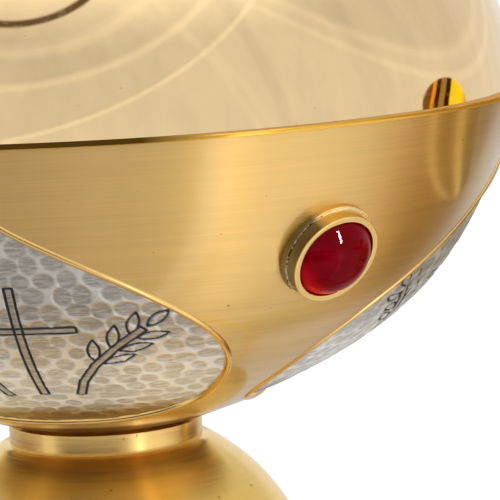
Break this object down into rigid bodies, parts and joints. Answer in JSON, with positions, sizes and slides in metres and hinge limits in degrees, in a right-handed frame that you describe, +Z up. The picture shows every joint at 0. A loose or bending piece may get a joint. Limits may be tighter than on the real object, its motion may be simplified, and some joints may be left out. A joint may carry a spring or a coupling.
{
  "type": "monstrance",
  "caption": "Combination monstrance: gilt cup with hammered silver panels and red cabochons on a knopped stem, domed lift-off cover, and a round glazed luna with a sunburst.",
  "frame": {"origin": "centre of the foot's resting face", "axes": "+Z up along the stem, -Y is the luna's front, +X to the right seen from the front"},
  "size_m": [0.15, 0.15, 0.3645],
  "materials": {
    "satin_gold": "gilt brass, brushed round the turning axis",
    "polished_gold": "gilt brass, mirror polished",
    "plain_brass": "turned brass, unlacquered",
    "hammered_silver": "silver-plated sheet with round hammer marks, oxidised in the cuts",
    "red_glass": "clear ruby glass, foil backed",
    "clear_glass": "clear flat glass"
  },
  "bodies": {
    "foot": {"foot_edge_ring": "polished_gold", "foot_shell": "satin_gold", "foot_band": "hammered_silver", "foot_washer": "plain_brass", "foot_nut": "plain_brass", "tie_rod": "plain_brass", "lower_disc": "plain_brass", "lower_ring": "satin_gold", "knop": "satin_gold", "stem_sleeve": "plain_brass", "neck_ring": "satin_gold", "neck_disc": "plain_brass", "cup_shell": "satin_gold", "cup_liner": "polished_gold", "panel_front": "hammered_silver", "panel_right": "hammered_silver", "panel_back": "hammered_silver", "panel_left": "hammered_silver", "border_front": "polished_gold", "border_right": "polished_gold", "border_back": "polished_gold", "border_left": "polished_gold", "bezel_1": "polished_gold", "bezel_2": "polished_gold", "bezel_3": "polished_gold", "bezel_4": "polished_gold", "stone_1": "red_glass", "stone_2": "red_glass", "stone_3": "red_glass", "stone_4": "red_glass"},
    "cover": {"dome": "polished_gold", "cover_bearing": "polished_gold", "dome_collar": "satin_gold", "luna_post": "satin_gold", "post_washer": "plain_brass", "post_nut": "plain_brass", "case_drum": "satin_gold", "front_glass": "clear_glass", "front_bezel": "polished_gold", "sunburst": "satin_gold", "glory_silver": "hammered_silver", "glory_bead_inner": "polished_gold", "glory_bead_outer": "polished_gold", "glory_bezels": "polished_gold", "glory_stones": "red_glass", "top_cross": "satin_gold", "hinge_pin": "plain_brass", "latch_post": "plain_brass", "latch_screw": "plain_brass", "lunette_socket": "plain_brass"},
    "door": {"door_frame": "polished_gold", "door_glass": "clear_glass", "door_retainer": "polished_gold", "door_knob": "polished_gold"},
    "latch": {"latch_button": "polished_gold"},
    "lunette": {"lunette_front": "polished_gold", "clip_pin": "plain_brass"},
    "clip": {"lunette_rear": "polished_gold"}
  },
  "joints": [
    {"name": "cover_lift", "type": "slide", "parent": "foot", "child": "cover", "axis": [0, 0, 1], "range_m": [0, 0.09]},
    {"name": "door_swing", "type": "hinge", "parent": "cover", "child": "door", "pos_m": [-0.036, 0.01155, 0.286], "axis": [0, 0, 1], "range_deg": [0, 120]},
    {"name": "latch_turn", "type": "hinge", "parent": "cover", "child": "latch", "pos_m": [0.0375, 0.014, 0.286], "axis": [0, 1, 0], "range_deg": [0, 90]},
    {"name": "lunette_lift", "type": "slide", "parent": "cover", "child": "lunette", "axis": [0, 0, 1], "range_m": [0, 0.007]},
    {"name": "clip_open", "type": "hinge", "parent": "lunette", "child": "clip", "pos_m": [0, 0.001, 0.2635], "axis": [-1, 0, 0], "range_deg": [0, 12], "stiffness_Nm_per_rad": 0.02, "springref_deg": -5.73}
  ]
}
